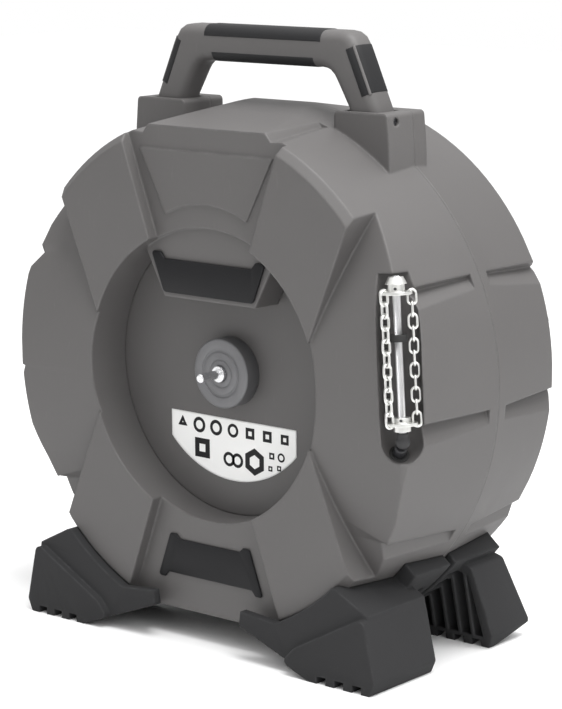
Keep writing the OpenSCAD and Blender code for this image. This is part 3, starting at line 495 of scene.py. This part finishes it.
def handle_form(name, grow=0.0):
    """The handle's rounded loop, grown outwards by grow: half is drawn, then mirrored."""
    stations = handle_outline(grow)
    middle = (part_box("handle_frame")[0].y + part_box("handle_frame")[1].y) / 2
    half = 17.6 + grow
    deselect_all()
    bpy.ops.mesh.primitive_plane_add(size=2 * MM, location=(0.135, middle, 0.545))
    piece = bpy.context.object
    piece.name = name
    piece.data.name = name
    bpy.ops.object.transform_apply(location=True, rotation=True, scale=True)
    bpy.ops.object.mode_set(mode="EDIT")
    bpy.ops.mesh.select_all(action="SELECT")
    bpy.ops.mesh.delete(type="ONLY_FACE")
    bpy.ops.mesh.select_mode(type="VERT")
    mesh = bmesh.from_edit_mesh(piece.data)
    front = sorted(mesh.verts, key=lambda v: (v.co.y, v.co.x))
    bmesh.ops.delete(mesh, geom=front[2:], context="VERTS")
    mesh.verts.ensure_lookup_table()
    pair = sorted(mesh.verts, key=lambda v: -v.co.x)
    for vert, (x, z) in zip(pair, stations[0]):
        vert.co = Vector((x * MM, middle - half * MM, z * MM))
    bmesh.update_edit_mesh(piece.data)
    for before, after in zip(stations, stations[1:]):
        bpy.ops.mesh.select_all(action="DESELECT")
        mesh = bmesh.from_edit_mesh(piece.data)
        ends = []
        for x, z in before:
            place = Vector((x * MM, middle - half * MM, z * MM))
            ends.append(min(mesh.verts, key=lambda v: (v.co - place).length))
        for vert in ends:
            vert.select_set(True)
        mesh.select_flush(True)
        bmesh.update_edit_mesh(piece.data)
        bpy.ops.mesh.extrude_edges_move()
        mesh = bmesh.from_edit_mesh(piece.data)
        fresh = [v for v in mesh.verts if v.select]
        for (x, z), (nx, nz) in zip(before, after):
            place = Vector((x * MM, middle - half * MM, z * MM))
            vert = min(fresh, key=lambda v: (v.co - place).length)
            fresh.remove(vert)
            vert.co = Vector((nx * MM, middle - half * MM, nz * MM))
        bmesh.update_edit_mesh(piece.data)
    bpy.ops.mesh.select_all(action="SELECT")
    bpy.ops.mesh.extrude_region_move(TRANSFORM_OT_translate={"value": (0, 2 * half * MM, 0)})
    bpy.ops.object.mode_set(mode="OBJECT")
    mirror = piece.modifiers.new("other_half", "MIRROR")
    mirror.use_bisect_axis[0] = False
    mirror.merge_threshold = 0.00005
    bpy.ops.object.modifier_apply(modifier="other_half")
    bpy.ops.object.mode_set(mode="EDIT")
    mesh = bmesh.from_edit_mesh(piece.data)
    inside = [f for f in mesh.faces if all(abs(v.co.x) < 1e-6 for v in f.verts)]
    bmesh.ops.delete(mesh, geom=inside, context="FACES_ONLY")
    bmesh.update_edit_mesh(piece.data)
    bpy.ops.mesh.select_all(action="SELECT")
    bpy.ops.mesh.normals_make_consistent(inside=False)
    bpy.ops.mesh.dissolve_limited(angle_limit=math.radians(0.5))
    bpy.ops.object.mode_set(mode="OBJECT")
    low, high = middle - half * MM, middle + half * MM

    def long_edge(edge):
        a, b = edge.verts
        flat = abs(a.co.y - b.co.y) < 1e-5 and min(abs(a.co.y - low), abs(a.co.y - high)) < 1e-5
        return flat and (a.co.z + b.co.z) / 2 > 0.546
    bevel_edges(piece, (11 + grow) * MM, 6, long_edge)
    return piece


def trim(piece, cuts):
    """Cut a piece by planes; each gives a point in mm and the direction thrown away."""
    deselect_all()
    piece.select_set(True)
    bpy.context.view_layer.objects.active = piece
    bpy.ops.object.mode_set(mode="EDIT")
    for point, direction in cuts:
        bpy.ops.mesh.select_all(action="SELECT")
        bpy.ops.mesh.bisect(plane_co=[c * MM for c in point], plane_no=direction,
                            clear_outer=True, use_fill=True)
    bpy.ops.object.mode_set(mode="OBJECT")


def ease_rims(piece, width, degrees=50):
    """Small round on every crisp edge."""
    limit = math.radians(degrees)
    bevel_edges(piece, width, 2,
                lambda e: len(e.link_faces) == 2 and e.calc_face_angle(0) > limit)


def finish_piece(piece, nodes, slot, body="case"):
    """Smooth shading, body, replaced nodes and material."""
    smooth_by_angle(piece, 40)
    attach(piece, body)
    if nodes:
        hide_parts(*nodes)
    dress(piece, slot)


def build_handle():
    """Rounded carry handle with its wrapped grips and leg inserts."""
    middle = (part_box("handle_frame")[0].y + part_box("handle_frame")[1].y) / 2 / MM
    finish_piece(handle_form("handle_moulding"), ["handle_frame"], "handle_plastic")
    top = handle_form("top_grip_wrap", 0.55)
    trim(top, [((80, 0, 0), (1, 0, 0)), ((-80, 0, 0), (-1, 0, 0)), ((0, 0, 641), (0, 0, -1))])
    ease_rims(top, 0.5 * MM)
    finish_piece(top, ["handle_top_grip"], "grip_rubber")
    under = handle_form("under_grip_wrap", 0.55)
    trim(under, [((70, 0, 0), (1, 0, 0)), ((-70, 0, 0), (-1, 0, 0)), ((0, 0, 624), (0, 0, 1))])
    ease_rims(under, 0.5 * MM)
    finish_piece(under, ["handle_under_grip"], "grip_rubber")
    lean = Vector((-36, 0, 81)).normalized()
    for side, node in ((1, "handle_right_strip"), (-1, "handle_left_strip")):
        run = Vector((lean.x * side, 0, lean.z))
        out = Vector((lean.z * side, 0, -lean.x))
        edge = Vector((147 * side, middle, 590))
        strip = handle_form("leg_insert_" + ("right" if side > 0 else "left"), 0.5)
        trim(strip, [(edge - out * 12.5, -out), (edge + run * 2, -run), (edge + run * 54, run)])
        ease_rims(strip, 0.5 * MM)
        finish_piece(strip, [node], "grip_rubber")
        ridge = handle_form("leg_ridge_" + ("right" if side > 0 else "left"), 1.0)
        slant = (out * 1.0 + Vector((0, -1, 0))).normalized()
        across = slant.cross(run)
        corner = edge + Vector((0, -18, 0)) - slant * 4
        trim(ridge, [(corner - slant * 3, -slant), (corner + across * 1.5, across),
                     (corner - across * 1.5, -across), (edge + run * 1, -run),
                     (edge + run * 55, run)])
        finish_piece(ridge, [], "handle_plastic")


def build_label_marks():
    """Plain round, triangular, square and six-sided rings on the label, none of them a sign."""
    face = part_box("drill_label")[0].y / MM
    deselect_all()
    pieces = []
    marks = [(-72 + 24 * i, 228, 8.6 if i % 3 else 7.6, 24 if 0 < i < 4 else (3 if i == 0 else 4))
             for i in range(7)]
    marks += [(-44, 203, 15, 4), (-6, 196, 8, 20), (6, 196, 8, 20), (30, 198, 15, 6),
              (54, 208, 5, 4), (67, 208, 5, 20), (52, 194, 4, 4), (64, 196, 4, 4)]
    for x, z, size, corners in marks:
        bpy.ops.mesh.primitive_circle_add(vertices=corners, radius=size * MM, fill_type="NGON",
                                          location=(x * MM, (face - 0.14) * MM, z * MM),
                                          rotation=(math.pi / 2, 0, 0))
        mark = bpy.context.object
        bpy.ops.object.transform_apply(location=True, rotation=True, scale=True)
        bpy.ops.object.mode_set(mode="EDIT")
        bpy.ops.mesh.select_all(action="SELECT")
        if corners == 4:
            bpy.ops.transform.rotate(value=math.pi / 4, orient_axis="Y",
                                     center_override=(x * MM, face * MM, z * MM))
        bpy.ops.mesh.inset(thickness=size * 0.42 * MM)
        bpy.ops.mesh.delete(type="FACE")
        bpy.ops.mesh.select_all(action="SELECT")
        bpy.ops.mesh.extrude_region_move(TRANSFORM_OT_translate={"value": (0, 0.16 * MM, 0)})
        bpy.ops.mesh.select_all(action="SELECT")
        bpy.ops.mesh.normals_make_consistent(inside=False)
        bpy.ops.object.mode_set(mode="OBJECT")
        pieces.append(mark)
    deselect_all()
    for mark in pieces:
        mark.select_set(True)
    bpy.context.view_layer.objects.active = pieces[0]
    bpy.ops.object.join()
    sheet = bpy.context.object
    sheet.name = "label_marks"
    sheet.data.name = "label_marks"
    finish_piece(sheet, [], "badge_black")


NOTCH_ANGLES = (27.5, -1.0, -29.5)
NOTCH_START = 13
NOTCH_ROOT_DROP = 7.8
NOTCH_OFFSET = -13
NOTCH_FALL = 17.2
NOTCH_REACH, NOTCH_SKIN = 24, 0.25
NOTCH_SLOPE, CRISP_SLOPE = 1.5, 0.22


def weld_keeping_creases(piece):
    """Merge a copy's loose triangles and keep every crease where its shading breaks."""
    layer = piece.data.attributes.new("facing", "FLOAT_VECTOR", "CORNER")
    for corner, normal in enumerate(piece.data.corner_normals):
        layer.data[corner].vector = normal.vector
    bpy.ops.object.mode_set(mode="EDIT")
    bpy.ops.mesh.select_all(action="SELECT")
    bpy.ops.mesh.remove_doubles(threshold=WELD)
    bpy.ops.mesh.select_all(action="DESELECT")
    mesh = bmesh.from_edit_mesh(piece.data)
    facing = mesh.loops.layers.float_vector["facing"]
    for face in mesh.faces:
        face.smooth = True
    for edge in mesh.edges:
        if len(edge.link_loops) != 2:
            edge.smooth = False
            continue
        first, second = edge.link_loops
        breaks = ((first[facing] - second.link_loop_next[facing]).length,
                  (first.link_loop_next[facing] - second[facing]).length)
        edge.smooth = max(breaks) < 0.05
    bmesh.update_edit_mesh(piece.data)
    bpy.ops.object.mode_set(mode="OBJECT")
    bpy.ops.mesh.customdata_custom_splitnormals_clear()
    piece.data.attributes.remove(piece.data.attributes["facing"])


def sharpen_notches(node, name, depth, forward):
    """A copy of a case half whose side notches have a steep upper step."""
    piece = copy_node(node, name)
    weld_keeping_creases(piece)
    radius = SHELL_HIGH.x / MM
    tilt = math.atan(NOTCH_FALL / depth)
    for vert in piece.data.vertices:
        height = vert.co.z - AXIS_Z
        along = forward * (PARTING_Y - vert.co.y) / MM
        for side in (1, -1):
            for degrees in NOTCH_ANGLES:
                angle = math.radians(degrees)
                across = side * vert.co.x
                x = (across * math.cos(angle) + height * math.sin(angle)) / MM
                y = (height * math.cos(angle) - across * math.sin(angle)) / MM - NOTCH_OFFSET
                x -= radius - NOTCH_ROOT_DROP
                z = along - NOTCH_START
                root = x * math.cos(tilt) + z * math.sin(tilt)
                off_flank = abs(y - NOTCH_SLOPE * root) > NOTCH_SKIN
                if root < 0.3 or root > NOTCH_REACH or z < -0.5 or off_flank:
                    continue
                drop = (CRISP_SLOPE - NOTCH_SLOPE) * root * MM
                vert.co.x -= side * drop * math.sin(angle)
                vert.co.z += drop * math.cos(angle)
    piece.data.update()
    stand_in_for(piece, node)


def main():
    """Everything in order."""
    set_camera()
    set_studio()
    for node, obj in frame["nodes"].items():
        dress(obj, NODE_SLOT[node])
    build_handle()
    build_label_marks()
    sharpen_notches("front_shell", "case_front_moulding", 140, 1)
    sharpen_notches("rear_shell", "case_rear_moulding", 120, -1)
    for node in ("foot_front_left", "foot_front_right", "foot_rear_left", "foot_rear_right"):
        soften(node, 1.6 * MM, 30)
    for node, width in (("upper_badge", 1.2), ("lower_badge", 1.2), ("hub_plate", 0.8)):
        soften(node, width * MM, 40)
    deselect_all()


main()
